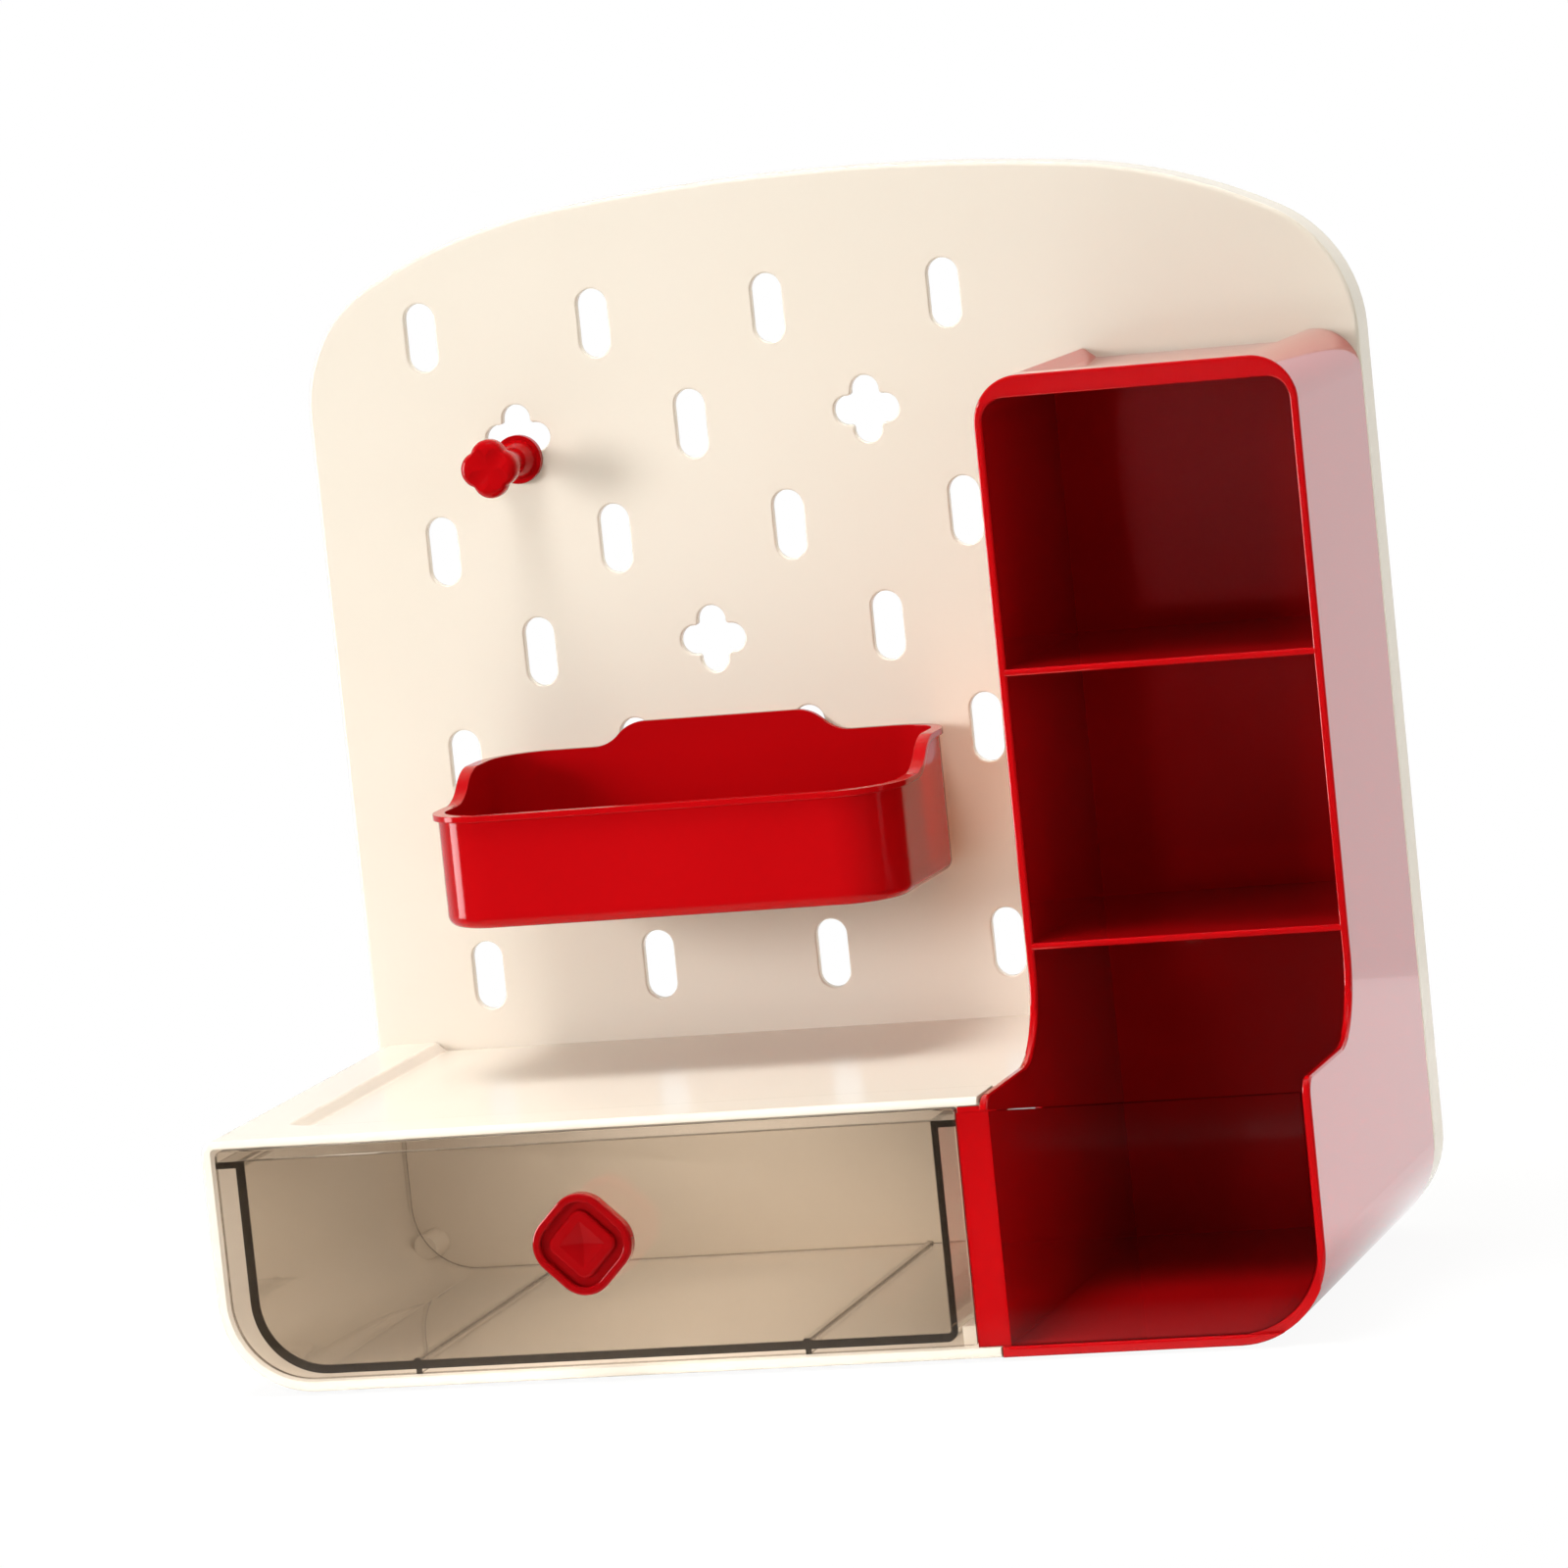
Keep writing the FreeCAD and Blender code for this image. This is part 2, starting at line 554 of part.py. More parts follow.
def tower_tab(x, z):
    """A neck through the pegboard and a lip that hangs down behind it."""
    lip_front = BOARD_THICK + JOINT_GAP
    lip_back = lip_front + TAB_THICK
    top = z + TAB_HEIGHT / 2
    neck = box(x - TAB_WIDTH / 2, x + TAB_WIDTH / 2, -TOWER_BACK / 2, lip_back, z - TAB_HEIGHT / 2, top)
    lip = box(x - TAB_WIDTH / 2, x + TAB_WIDTH / 2, lip_front, lip_back, z - TAB_HEIGHT / 2 - TAB_DROP, top)
    return neck.fuse(lip)


def tower_shell():
    outline = rectangle(TOWER_LEFT, RIGHT, 0, TOWER_HEIGHT, (0, TOWER_FOOT_R, TOWER_TOP_R, TOWER_TOP_R))
    profile = prism(YZ, tower_side_profile(), TOWER_LEFT - OVERCUT, RIGHT + OVERCUT)
    body = prism(XZ, outline, FRONT, 0).common(profile)
    body = body.makeFillet(TOWER_BACK_R, edges_at(body, 0))
    body = body.cut(tower_bins()).removeSplitter()
    body = body.makeFillet(TOWER_EDGE_R, tower_front_edges(body, profile))
    shield_seat = box(TOWER_LEFT - OVERCUT, RIGHT - TOWER_WALL, FRONT - OVERCUT, SHIELD_BACK,
                      TOWER_FLOOR, SHIELD_TOP + JOINT_GAP)
    strip = box(STRIP_LEFT, TOWER_LEFT + TOWER_WALL / 2, SHIELD_BACK, SHIELD_BACK + STRIP_THICK,
                HOUSING_WALL + JOINT_GAP, STRIP_TOP)
    bosses = [rod(x, z, BOSS_R, -BOSS_LENGTH, 0) for x, z in tower_boss_places()]
    tabs = [tower_tab(x, z) for x, z in tab_places()]
    body = body.cut(shield_seat).multiFuse([strip] + bosses + tabs)
    cutters = tower_top_recess()
    cutters += [rod(x, z, SCREW_R + SCREW_FIT, -SCREW_LENGTH, OVERCUT) for x, z in tower_boss_places()]
    cutters += [pad_pocket(x, y) for x, y in right_pad_places()]
    return body.cut(cutters).removeSplitter()


def tower_shield():
    right = RIGHT - TOWER_WALL - SHIELD_SIDE_GAP
    outline = rectangle(STRIP_LEFT, right, TOWER_FLOOR + JOINT_GAP, SHIELD_TOP, (0, SHIELD_CORNER_R, 0, 0))
    return prism(XZ, outline, FRONT, SHIELD_BACK)


# ---- drawer ----
def drawer_front():
    radii = (FRONT_CORNER_R, FRONT_SMALL_R, FRONT_SMALL_R, 2 * FRONT_SMALL_R)
    outline = rectangle(FRONT_LEFT, FRONT_RIGHT, FRONT_BOTTOM, FRONT_TOP, radii)
    panel = prism(XZ, outline, FRONT, FRONT_BACK)
    panel = panel.makeFillet(FRONT_EDGE_R, edges_at(panel, FRONT))
    return panel.cut(rod(KNOB_X, KNOB_Z, SCREW_HOLE_R, FRONT - OVERCUT, FRONT_BACK + OVERCUT))


def drawer_tub():
    wall = TUB_WALL
    outer = rectangle(TUB_LEFT, TUB_RIGHT, TUB_BOTTOM, TUB_TOP, (TUB_CORNER_R, TUB_SMALL_R, 0, 0))
    inner = rectangle(TUB_LEFT + wall, TUB_RIGHT - wall, TUB_BOTTOM + wall, TUB_TOP + OVERCUT,
                      (TUB_CORNER_R - wall, TUB_SMALL_R - wall, 0, 0))
    tub = prism(XZ, outer, TUB_FRONT, TUB_REAR).cut(prism(XZ, inner, TUB_FRONT + wall, TUB_REAR - wall))
    flange_bottom = TUB_TOP - RIM_FLANGE_THICK
    flange_right = TUB_RIGHT + RIM_FLANGE_RIGHT
    extras = [box(FRONT_LEFT, TUB_LEFT + wall / 2, TUB_FRONT, TUB_REAR, flange_bottom, TUB_TOP),
              box(TUB_RIGHT - wall / 2, flange_right, TUB_FRONT, TUB_REAR, flange_bottom, TUB_TOP)]
    for inset in RUNNER_INSETS:
        middle = TUB_LEFT + inset
        extras.append(box(middle - RUNNER_WIDTH / 2, middle + RUNNER_WIDTH / 2, TUB_FRONT + wall,
                          TUB_REAR - wall, HOUSING_WALL + RUNNER_GAP, TUB_BOTTOM + wall + RUNNER_BEAD))
    screw_hole = rod(KNOB_X, KNOB_Z, SCREW_HOLE_R, TUB_FRONT - OVERCUT, TUB_FRONT + wall + OVERCUT)
    return tub.multiFuse(extras).cut(screw_hole).removeSplitter()


def diamond(half, radius):
    """A square with rounded corners, turned to stand on one corner, round the knob's axis."""
    reach = half * math.sqrt(2)
    return [(KNOB_X + reach, KNOB_Z, radius), (KNOB_X, KNOB_Z + reach, radius),
            (KNOB_X - reach, KNOB_Z, radius), (KNOB_X, KNOB_Z - reach, radius)]


def knob_pyramid(top):
    """A four-sided pit in the knob's platform, its corners up, down, left and right."""
    ring = [V(KNOB_X + PYRAMID_REACH * math.cos(turn * math.pi / 2), top,
              KNOB_Z + PYRAMID_REACH * math.sin(turn * math.pi / 2)) for turn in range(4)]
    apex = V(KNOB_X, top + PYRAMID_DEPTH, KNOB_Z)
    faces = [Part.Face(Part.makePolygon(ring + ring[:1]))]
    for index in range(4):
        faces.append(Part.Face(Part.makePolygon([ring[index], ring[(index + 1) % 4], apex, ring[index]])))
    pit = Part.Solid(Part.Shell(faces))
    pit.fix(TOUCH, TOUCH, TOUCH)
    return pit


def drawer_knob():
    head = prism(XZ, diamond(KNOB_HALF, KNOB_CORNER_R), KNOB_FRONT, KNOB_BACK)
    head = head.makeFillet(KNOB_BACK_R, edges_at(head, KNOB_BACK))
    head = head.makeFillet(KNOB_FRONT_R, edges_at(head, KNOB_FRONT))
    groove_floor = KNOB_FRONT + KNOB_GROOVE
    platform_top = groove_floor - PLATFORM_RISE
    platform_root = groove_floor + KNOB_THICK / 4
    dish = prism(XZ, diamond(KNOB_HALF - KNOB_RIM, KNOB_CORNER_R - KNOB_RIM),
                 KNOB_FRONT - OVERCUT, groove_floor)
    head = head.cut(dish)
    middle = Part.Vertex(V(KNOB_X, KNOB_FRONT, KNOB_Z))
    rim_reach = KNOB_HALF - KNOB_FRONT_R - TOUCH
    inner_rim = [e for e in edges_at(head, KNOB_FRONT) if e.distToShape(middle)[0] < rim_reach]
    head = head.makeFillet(KNOB_DISH_R, inner_rim)
    platform = prism(XZ, diamond(PLATFORM_HALF, PLATFORM_CORNER_R), platform_top, platform_root)
    platform = platform.makeFillet(PLATFORM_EDGE_R, edges_at(platform, platform_top))
    flare_end = KNOB_BACK + STEM_FLARE_LENGTH
    flare = cone(KNOB_X, KNOB_Z, STEM_FLARE_R, STEM_R, KNOB_BACK, flare_end)
    stem = rod(KNOB_X, KNOB_Z, STEM_R, platform_root, FRONT)
    knob = head.multiFuse([platform, flare, stem])
    bore = rod(KNOB_X, KNOB_Z, SCREW_R + SCREW_FIT, TUB_FRONT + TUB_WALL - SCREW_LENGTH, FRONT + OVERCUT)
    return knob.cut([knob_pyramid(platform_top), bore]).removeSplitter()


# ---- hanging tray ----
def tray_middle():
    return (hole_centre(TRAY_ROW, TRAY_COLUMNS[0])[0] + hole_centre(TRAY_ROW, TRAY_COLUMNS[1])[0]) / 2


def tray_bottom():
    return hole_centre(TRAY_ROW, TRAY_COLUMNS[0])[1] - TRAY_BELOW_SLOT


def tray_plan(inset):
    """Outline from above; a negative inset grows it at the sides and front only."""
    middle = tray_middle()
    back = -SEAT_GAP - max(inset, 0)
    front = -SEAT_GAP - TRAY_DEPTH + inset
    half = TRAY_HALF_WIDTH - inset
    return rectangle(middle - half, middle + half, front, back,
                     (TRAY_FRONT_R - inset, TRAY_FRONT_R - inset, TRAY_BACK_R - inset, TRAY_BACK_R - inset))


def under_rim(drop):
    """The space below the rim line: low in front, stepped up at the sides, humped at the back."""
    bottom = tray_bottom()
    middle = tray_middle()
    low = bottom + TRAY_FRONT_HEIGHT
    high = bottom + TRAY_SIDE_HEIGHT
    top = bottom + TRAY_HUMP_HEIGHT
    step_end = -SEAT_GAP - TRAY_STEP_START
    step_start = step_end - TRAY_STEP_LENGTH
    front = -SEAT_GAP - TRAY_DEPTH - OVERCUT
    side = [(front, bottom - OVERCUT, 0), (front, low - drop, 0)]
    side += step_corners(step_start, low, step_end, high, drop)
    side += [(OVERCUT, high - drop, 0), (OVERCUT, bottom - OVERCUT, 0)]
    reach = TRAY_HALF_WIDTH + OVERCUT
    flank = prism(YZ, side, middle - reach, middle + reach)
    run_out = HUMP_HALF_TOP + HUMP_RUN
    hump = [(middle - reach, bottom - OVERCUT, 0), (middle - reach, high - drop, 0)]
    hump += step_corners(middle - run_out, high, middle - HUMP_HALF_TOP, top, drop)
    hump += step_corners(middle + HUMP_HALF_TOP, top, middle + run_out, high, drop)
    hump += [(middle + reach, high - drop, 0), (middle + reach, bottom - OVERCUT, 0)]
    return flank.fuse(prism(XZ, hump, -SEAT_GAP - TRAY_WALL, OVERCUT))


def tray_hook(column):
    """A round-ended neck through the slot and a lip that hangs down behind the board."""
    x, z = hole_centre(TRAY_ROW, column)
    half = HOOK_NECK_WIDTH / 2
    bottom = z - SLOT_HEIGHT / 2 + SEAT_GAP
    top = bottom + HOOK_NECK_HEIGHT
    lip_front = BOARD_THICK + SEAT_GAP
    lip_back = lip_front + HOOK_LIP_THICK
    neck = prism(XZ, rectangle(x - half, x + half, bottom, top, (half, half, 0, 0)),
                 -SEAT_GAP - TRAY_WALL / 2, lip_back)
    lip = prism(XZ, rectangle(x - half, x + half, bottom - HOOK_LIP_DROP, top, (half, half, 0, 0)),
                lip_front, lip_back)
    return neck.fuse(lip)


def hanging_tray():
    bottom = tray_bottom()
    tall = bottom + TRAY_HUMP_HEIGHT + OVERCUT
    body = prism(XY, tray_plan(0), bottom, tall)
    floor_edges = [e for e in body.Edges if e.BoundBox.ZMax < bottom + TOUCH]
    body = body.makeFillet(TRAY_BOTTOM_R, floor_edges)
    inside = prism(XY, tray_plan(TRAY_WALL), bottom + TRAY_WALL, tall + OVERCUT)
    inner_edges = [e for e in inside.Edges if e.BoundBox.ZMax < bottom + TRAY_WALL + TOUCH]
    inside = inside.makeFillet(TRAY_BOTTOM_R - TRAY_WALL / 2, inner_edges)
    rim = under_rim(0)
    lip = prism(XY, tray_plan(-TRAY_LIP_OUT), bottom, tall)
    lip = lip.cut(prism(XY, tray_plan(TRAY_WALL / 2), bottom, tall))
    lip = lip.common(rim.cut(under_rim(TRAY_LIP_HEIGHT)))
    tray = body.common(rim).fuse(lip).cut(inside)
    hooks = [tray_hook(column) for column in TRAY_COLUMNS]
    return tray.multiFuse(hooks).removeSplitter()


# ---- hook peg ----
def peg_centre():
    x, z = hole_centre(*PEG_HOLE)
    return x, z - LOBE_OFFSET - LOBE_R + PEG_NECK_R + SEAT_GAP


def hook_peg():
    x, z = peg_centre()
    flange_front = BOARD_THICK + SEAT_GAP
    collar_front = -SEAT_GAP - PEG_COLLAR_THICK
    head_back = -PEG_SHANK_END
    head_front = head_back - PEG_HEAD_THICK
    flange = rod(x, z, PEG_FLANGE_R, flange_front, flange_front + PEG_FLANGE_THICK)
    neck = rod(x, z, PEG_NECK_R, collar_front, flange_front)
    collar = rod(x, z, PEG_COLLAR_R, collar_front, -SEAT_GAP)
    flare = cone(x, z, PEG_SHANK_R, PEG_FLARE_R, collar_front - PEG_FLARE_LENGTH, collar_front)
    shank = rod(x, z, PEG_SHANK_R, head_back - PEG_HEAD_THICK / 2, collar_front)
    lobes = []
    for quarter in range(4):
        turn = quarter * math.pi / 2
        lobes.append(rod(x + PEG_LOBE_OFFSET * math.cos(turn), z + PEG_LOBE_OFFSET * math.sin(turn),
                         PEG_LOBE_R, head_front, head_back))
    head = lobes[0].multiFuse(lobes[1:]).removeSplitter()
    head = head.makeFillet(PEG_NOTCH_R, diagonal_edges(head, x, z))
    head = head.makeFillet(PEG_HEAD_CROWN_R, edges_at(head, head_front))
    head = head.makeFillet(PEG_HEAD_EDGE_R, edges_at(head, head_back))
    reach = PEG_LOBE_OFFSET + PEG_LOBE_R
    creases = []
    for side in (-1, 1):
        start = V(x - side * reach, head_front + PEG_CREASE_DEPTH - PEG_CREASE_R, z - reach)
        creases.append(Part.makeCylinder(PEG_CREASE_R, 2 * math.sqrt(2) * reach, start, V(side, 0, 1)))
    return head.cut(creases).multiFuse([shank, flare, collar, neck, flange]).removeSplitter()


# ---- fixings ----
def pan_screw(x, z, seat):
    """A pan-head screw driven from the back: its head sits on the plane y = seat, its shank points to -Y."""
    back = seat + SCREW_HEAD_THICK
    shank = rod(x, z, SCREW_R, seat - SCREW_LENGTH, seat)
    head = rod(x, z, SCREW_HEAD_R, seat, back)
    head = head.makeFillet(SCREW_HEAD_THICK / 2, edges_at(head, back))
    long = DRIVE_R
    short = DRIVE_SLOT / 2
    cross = [box(x - u, x + u, back - DRIVE_DEPTH, back, z - v, z + v)
             for u, v in ((long, short), (short, long))]
    return head.fuse(shank).cut(cross)


def left_pad_places():
    x = LEFT + HOUSING_FOOT_R + PAD_SIDE_CLEARANCE
    return [(x, FRONT + PAD_FRONT_INSET), (x, -PAD_REAR_INSET)]


def right_pad_places():
    x = RIGHT - TOWER_FOOT_R - PAD_SIDE_CLEARANCE
    return [(x, FRONT + PAD_FRONT_INSET), (x, -PAD_REAR_INSET)]


def pad_pocket(x, y):
    recess = PAD_THICK - FOOT_PROUD
    return Part.makeCylinder(PAD_R + JOINT_GAP / 2, recess + OVERCUT, V(x, y, -OVERCUT))


def pad(x, y):
    disc = Part.makeCylinder(PAD_R, PAD_THICK, V(x, y, -FOOT_PROUD))
    lower = [e for e in disc.Edges if e.BoundBox.ZMax < -FOOT_PROUD + TOUCH]
    return disc.makeFillet(FOOT_PROUD / 3, lower)


def all_pieces():
    pieces = {"back_board": back_board(), "base_housing": base_housing(), "tower_shell": tower_shell(),
              "tower_shield": tower_shield(), "drawer_front": drawer_front(), "drawer_tub": drawer_tub(),
              "drawer_knob": drawer_knob(), "hanging_tray": hanging_tray(), "hook_peg": hook_peg()}
    pieces["knob_screw"] = pan_screw(KNOB_X, KNOB_Z, TUB_FRONT + TUB_WALL)
    for index, (x, z) in enumerate(housing_boss_places(), 1):
        pieces["housing_screw_%d" % index] = pan_screw(x, z, BOARD_THICK)
    for index, (x, z) in enumerate(tower_boss_places(), 1):
        pieces["tower_screw_%d" % index] = pan_screw(x, z, BOARD_THICK)
    names = ("foot_front_left", "foot_rear_left", "foot_front_right", "foot_rear_right")
    for name, (x, y) in zip(names, left_pad_places() + right_pad_places()):
        pieces[name] = pad(x, y)
    return pieces


os.makedirs("parts", exist_ok=True)
for name, shape in all_pieces().items():
    place(shape).exportStep("parts/%s.step" % name)
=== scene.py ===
import json
import math

import bpy
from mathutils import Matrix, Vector


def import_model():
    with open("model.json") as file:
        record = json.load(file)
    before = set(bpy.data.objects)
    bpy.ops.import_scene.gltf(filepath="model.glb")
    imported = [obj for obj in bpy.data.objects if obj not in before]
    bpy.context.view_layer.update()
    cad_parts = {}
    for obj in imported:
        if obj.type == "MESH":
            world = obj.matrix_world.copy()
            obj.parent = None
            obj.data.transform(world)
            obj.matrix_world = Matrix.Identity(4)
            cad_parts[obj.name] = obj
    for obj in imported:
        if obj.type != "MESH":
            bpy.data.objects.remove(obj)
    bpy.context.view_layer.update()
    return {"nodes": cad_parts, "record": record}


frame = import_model()

MM = 0.001

# ---- studio sizes, in metres ----
CAMERA_AT = (0.56811, -2.01088, 0.38098)
CAMERA_TILT = (83.4918, 5.8340, 15.1550)     # degrees about X, Y and Z
CAMERA_LENS = 181.7645                       # millimetres
SENSOR_WIDTH = 36.0                          # millimetres
CLIP_START = 0.05
CLIP_END = 50
FLOOR_HALF_WIDTH = 0.9
FLOOR_FRONT = -0.62
FLOOR_BACK = 0.55
SHADOW_REACH = 0.22                          # the floor shows its shadow this far from the middle
FLOOR_WHITE = 0.93                           # how much of the floor is plain white inside that reach

# ---- light levels ----
FILL_LOW = 0.23                              # the fill's strength at the horizon and overhead
FILL_TOP = 0.47
FILL_BEHIND = 0.75                           # added to the fill behind the object
MIRROR_FRONT = 0.004                         # what a mirror sees of the dark room in front

# ---- finishes ----
CREAM = "#EEE5D9"
CREAM_DEEP = "#EBE1D3"
RED = "#C4080E"
RED_DEEP = "#B4060B"
RED_SMALL_SHADED = "#B8070D"                        # the tray and the peg: a darker copy of the red, painted shade against the extra light they catch
RED_SMALL_SHADED_DEEP = "#AA060B"
# the knob: a still darker copy of the red, painted shade for the shade in its dished, faceted face
RED_KNOB_SHADED = "#98050A"
RED_KNOB_SHADED_DEEP = "#8A0408"
RED_BOUNCE = "#9A5728"                       # the light red throws on its neighbours, warm but held back
SMOKE = "#FAF7F3"
SMOKE_LIGHT = "#FFFEFD"                      # what a smoky wall leaves of the light that passes
SMOKE_HAZE = "#CFBFAC"
SMOKE_DEPTH = 22.0                           # absorption per metre of plastic
# painted shade for the edges of the smoky walls, in place of the dark lines that refraction draws there
SMOKE_EDGE_SHADE = "#4E3E30"
CLEAR = "#FDFDFD"
# painted shade for the edges of the clear shield
CLEAR_EDGE_SHADE = "#C9B4B4"
EDGE_SHADE_MM = 0.7                                # how far in from a sharp edge a clear wall gets its painted edge shade
EDGE_TURN_START = 0.99                       # cosine of the rounded normal where that begins, and is full
EDGE_TURN_FULL = 0.8
ZINC = "#B9BBBE"
ZINC_DEEP = "#A6A8AC"
PAD_GREY = "#C9C7C2"
PAD_GREY_DEEP = "#BDBBB6"
BACKDROP = "#FFFFFF"
FILL_TINT = "#FFFDF0"
GLOW = "#FF9040"                             # the warm light between the tray and the red tower


def linear(hex_code):
    """An sRGB hex colour as linear RGBA."""
    channels = [int(hex_code[i:i + 2], 16) / 255 for i in (1, 3, 5)]
    return tuple(c / 12.92 if c <= 0.04045 else ((c + 0.055) / 1.055) ** 2.4 for c in channels) + (1.0,)


def node(tree, kind, settings=None, **links):
    """Adds a node; settings go on it or its sockets, links join other nodes' outputs to its inputs."""
    made = tree.nodes.new(kind)
    for name, value in (settings or {}).items():
        if name in made.inputs:
            made.inputs[name].default_value = value
        else:
            setattr(made, name, value)
    for name, output in links.items():
        tree.links.new(output, made.inputs[name.replace("_", " ")])
    return made


def joined(tree, kind, settings, first, second):
    """Adds a node of two numbered inputs and links an output to each."""
    made = node(tree, kind, settings)
    tree.links.new(first, made.inputs[0])
    tree.links.new(second, made.inputs[1])
    return made.outputs["Value"]


def mix(tree, factor, first, second):
    """Joins two shaders; the factor is a number or another node's output."""
    made = node(tree, "ShaderNodeMixShader")
    if isinstance(factor, float):
        made.inputs["Fac"].default_value = factor
    else:
        tree.links.new(factor, made.inputs["Fac"])
    tree.links.new(first, made.inputs[1])
    tree.links.new(second, made.inputs[2])
    return made.outputs["Shader"]


def blend(tree, factor, first, second):
    """Goes from one hex colour to another as the factor rises."""
    made = node(tree, "ShaderNodeMix", {"data_type": "RGBA"}, Factor=factor)
    made.inputs["A"].default_value = linear(first)
    made.inputs["B"].default_value = linear(second)
    return made.outputs["Result"]


def new_material(name):
    material = bpy.data.materials.new(name)
    material.use_nodes = True
    material.node_tree.nodes.clear()
    return material, material.node_tree


def moulded_surface(tree, light, deep, flow_mm, grain_mm, grain_depth_mm, edge_mm):
    """Colour that drifts along the melt's flow, and a normal with fine orange peel and soft edges."""
    place = node(tree, "ShaderNodeTexCoord").outputs["Object"]
    flow = node(tree, "ShaderNodeTexNoise", {"Scale": 1 / (flow_mm * MM), "Detail": 2.0}, Vector=place)
    colour = blend(tree, flow.outputs["Fac"], deep, light)
    grain = node(tree, "ShaderNodeTexNoise", {"Scale": 1 / (grain_mm * MM), "Detail": 3.0}, Vector=place)
    edge = node(tree, "ShaderNodeBevel", {"samples": 6, "Radius": edge_mm * MM})
    bump = node(tree, "ShaderNodeBump", {"Strength": 0.25, "Distance": grain_depth_mm * MM},
                Height=grain.outputs["Fac"], Normal=edge.outputs["Normal"])
    return colour, bump.outputs["Normal"], flow.outputs["Fac"]


def rough_range(tree, factor, low, high):
    return node(tree, "ShaderNodeMapRange", {"To Min": low, "To Max": high}, Value=factor).outputs["Result"]


def cream_abs():
    """Cream ABS, injection moulded in a polished tool: a warm pale body under a clear gloss."""
    material, tree = new_material("cream_abs_moulded")
    colour, normal, flow = moulded_surface(tree, CREAM, CREAM_DEEP, flow_mm=90, grain_mm=1.2,
                                           grain_depth_mm=0.004, edge_mm=0.5)
    shader = node(tree, "ShaderNodeBsdfPrincipled", {"IOR": 1.5}, Base_Color=colour, Normal=normal,
                  Roughness=rough_range(tree, flow, 0.12, 0.2))
    node(tree, "ShaderNodeOutputMaterial", Surface=shader.outputs["BSDF"])
    return material


def red_abs(name, light, deep, ior, coat, mirror=0.5):
    """Deep red ABS: dark saturated body with hard clean reflections; its bounce light is held back."""
    material, tree = new_material(name)
    colour, normal, flow = moulded_surface(tree, light, deep, flow_mm=60, grain_mm=1.0,
                                           grain_depth_mm=0.003, edge_mm=0.45)
    bounce = node(tree, "ShaderNodeMix", {"data_type": "RGBA"},
                  Factor=node(tree, "ShaderNodeLightPath").outputs["Is Diffuse Ray"])
    tree.links.new(colour, bounce.inputs["A"])
    bounce.inputs["B"].default_value = linear(RED_BOUNCE)
    gloss = {"IOR": ior, "Specular IOR Level": mirror, "Coat Weight": coat, "Coat Roughness": 0.03}
    shader = node(tree, "ShaderNodeBsdfPrincipled", gloss, Base_Color=bounce.outputs["Result"], Normal=normal,
                  Roughness=rough_range(tree, flow, 0.08, 0.13))
    node(tree, "ShaderNodeOutputMaterial", Surface=shader.outputs["BSDF"])
    return material


def clear_plastic(name, tint, edge_shade_tint, shade, flow_mm, roughness, ior, haze_tint, haze, depth):
    """A clear moulded wall: it bends and mirrors what is seen, with a breath of haze, painted edge shade
    and a tint that deepens with the length of plastic looked through (depth, per metre)."""
    material, tree = new_material(name)
    place = node(tree, "ShaderNodeTexCoord").outputs["Object"]
    flow = node(tree, "ShaderNodeTexNoise", {"Scale": 1 / (flow_mm * MM), "Detail": 1.0}, Vector=place)
    wave = node(tree, "ShaderNodeBump", {"Strength": 0.12, "Distance": 0.02 * MM}, Height=flow.outputs["Fac"])
    soft = node(tree, "ShaderNodeBevel", {"samples": 8, "Radius": EDGE_SHADE_MM * MM})
    # painted shade: near a sharp edge, where the rounded normal turns away from the true one, the colour goes
    # to the edge colour
    turn = joined(tree, "ShaderNodeVectorMath", {"operation": "DOT_PRODUCT"}, soft.outputs["Normal"],
                  node(tree, "ShaderNodeNewGeometry").outputs["Normal"])
    edge = node(tree, "ShaderNodeMapRange", {"From Min": EDGE_TURN_START, "From Max": EDGE_TURN_FULL},
                Value=turn)
    shader = node(tree, "ShaderNodeBsdfPrincipled", {"IOR": ior, "Transmission Weight": 1.0},
                  Base_Color=blend(tree, edge.outputs["Result"], tint, edge_shade_tint),
                  Normal=wave.outputs["Normal"],
                  Roughness=rough_range(tree, flow.outputs["Fac"], roughness, 2 * roughness))
    milk = mix(tree, 0.5, node(tree, "ShaderNodeBsdfDiffuse", {"Color": linear(haze_tint)}).outputs["BSDF"],
               node(tree, "ShaderNodeBsdfTranslucent", {"Color": linear(haze_tint)}).outputs["BSDF"])
    wall = mix(tree, haze, shader.outputs["BSDF"], milk)
    through = node(tree, "ShaderNodeBsdfTransparent", {"Color": linear(shade)})
    path = node(tree, "ShaderNodeLightPath")
    lighting = joined(tree, "ShaderNodeMath", {"operation": "MAXIMUM"}, path.outputs["Is Shadow Ray"],
                      path.outputs["Is Diffuse Ray"])
    out = node(tree, "ShaderNodeOutputMaterial", Surface=mix(tree, lighting, wall, through.outputs["BSDF"]))
    if depth:
        body = node(tree, "ShaderNodeVolumeAbsorption", {"Color": linear(haze_tint), "Density": depth})
        tree.links.new(body.outputs["Volume"], out.inputs["Volume"])
    return material


def smoky_ps():
    """Smoke-brown polystyrene, clear moulded: a grey-brown tint that deepens with each wall."""
    return clear_plastic("smoky_polystyrene_clear", SMOKE, SMOKE_EDGE_SHADE, SMOKE_LIGHT, flow_mm=18,
                         roughness=0.004, ior=1.58, haze_tint=SMOKE_HAZE, haze=0.015, depth=SMOKE_DEPTH)


def clear_ps():
    """Water-clear polystyrene sheet: hardly any tint, only gloss and a faint painted shade along its edges.
    """
    return clear_plastic("clear_polystyrene_sheet", CLEAR, CLEAR_EDGE_SHADE, CLEAR, flow_mm=25,
                         roughness=0.003, ior=1.45, haze_tint=CLEAR, haze=0.0, depth=0.0)


